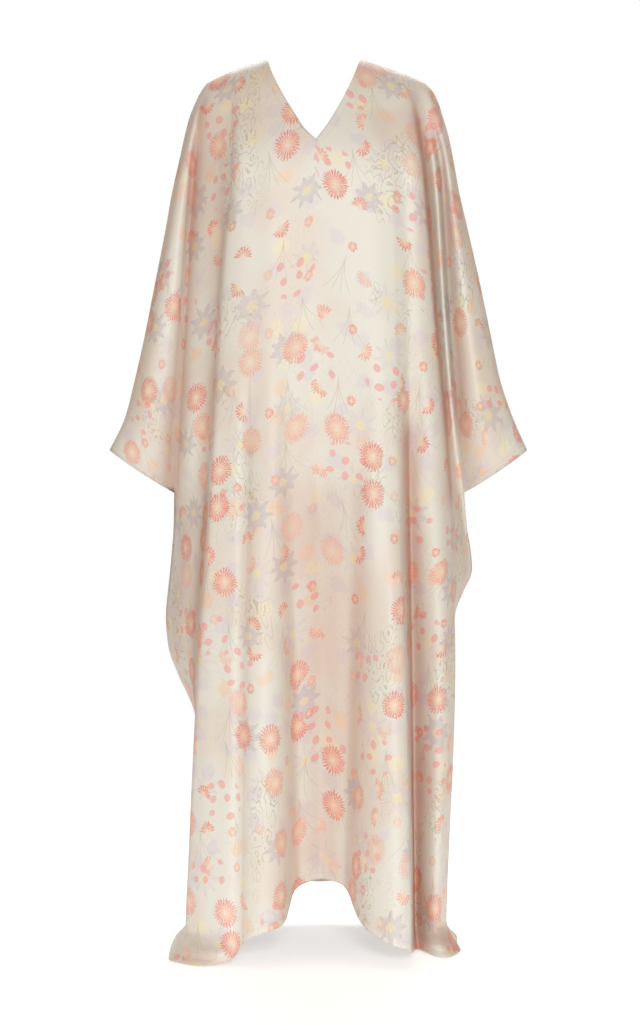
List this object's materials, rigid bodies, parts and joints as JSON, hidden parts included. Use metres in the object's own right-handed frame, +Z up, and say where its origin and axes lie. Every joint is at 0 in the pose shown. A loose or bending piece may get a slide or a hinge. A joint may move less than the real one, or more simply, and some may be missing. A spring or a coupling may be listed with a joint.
{
  "type": "maxi kaftan",
  "caption": "Full-length V-neck kaftan in its worn form, with wide grown-on sleeves, slanted cuffs, draped sides and a hem that arches up at the front.",
  "frame": {"origin": "midway between the two points where the shoulder seams meet the neckline", "axes": "+Z up along the wearer, +X to the right as seen from the front, and the front faces -Y"},
  "size_m": [0.7096, 0.4349, 1.5077],
  "materials": {
    "front_satin": "soft satin jacquard, pale ivory with coral and lilac flowers",
    "back_satin": "soft satin jacquard, pale ivory with coral and lilac flowers"
  },
  "bodies": {
    "root": {"front_panel": "front_satin", "back_panel": "back_satin"}
  },
  "joints": []
}
